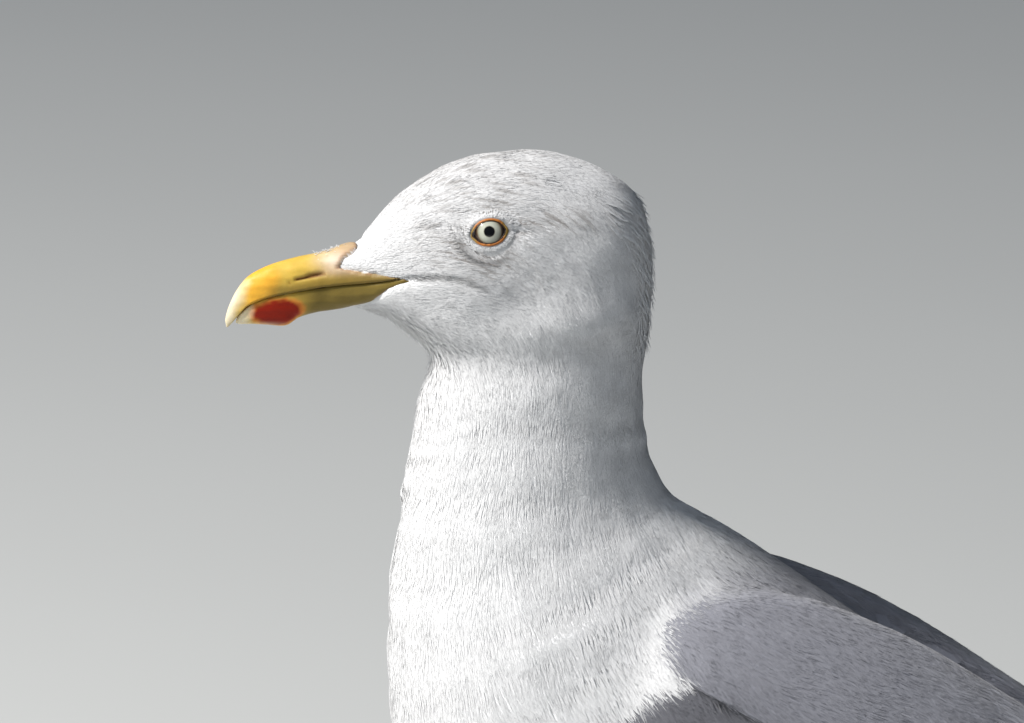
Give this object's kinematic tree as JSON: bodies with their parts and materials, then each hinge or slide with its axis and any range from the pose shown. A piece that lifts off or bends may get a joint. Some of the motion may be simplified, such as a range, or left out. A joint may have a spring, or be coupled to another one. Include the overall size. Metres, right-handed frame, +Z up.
{
  "type": "herring gull",
  "caption": "Life-size adult herring gull standing alert: white head and breast, grey folded wings, black wing tips, yellow hooked bill, webbed feet.",
  "frame": {"origin": "on the floor, under the middle of the bird's box", "axes": "+Z up, the bird faces -X, its left side is toward -Y"},
  "size_m": [0.5146, 0.1506, 0.4049],
  "materials": {
    "plumage_white": "matte white feathers",
    "plumage_grey": "matte mid-grey feathers",
    "wingtip_black": "slightly glossy black feathers",
    "bill_horn": "satin yellow horn with an orange-red spot",
    "eye": "wet, pale ivory iris with a black pupil",
    "leg_skin": "scaled flesh-pink skin",
    "claw": "dark horn"
  },
  "bodies": {
    "root": {"bill_lower": "bill_horn", "bill_upper": "bill_horn", "claw_inner_left": "claw", "claw_inner_right": "claw", "claw_middle_left": "claw", "claw_middle_right": "claw", "claw_outer_left": "claw", "claw_outer_right": "claw", "eye_left": "eye", "eye_right": "eye", "foot_left": "leg_skin", "foot_right": "leg_skin", "head": "plumage_white", "neck": "plumage_white", "primaries_left": "wingtip_black", "primaries_right": "wingtip_black", "shank_left": "leg_skin", "shank_right": "leg_skin", "tail": "plumage_white", "thigh_left": "plumage_white", "thigh_right": "plumage_white", "trunk": "plumage_white", "wing_left": "plumage_grey", "wing_right": "plumage_grey"}
  },
  "joints": []
}
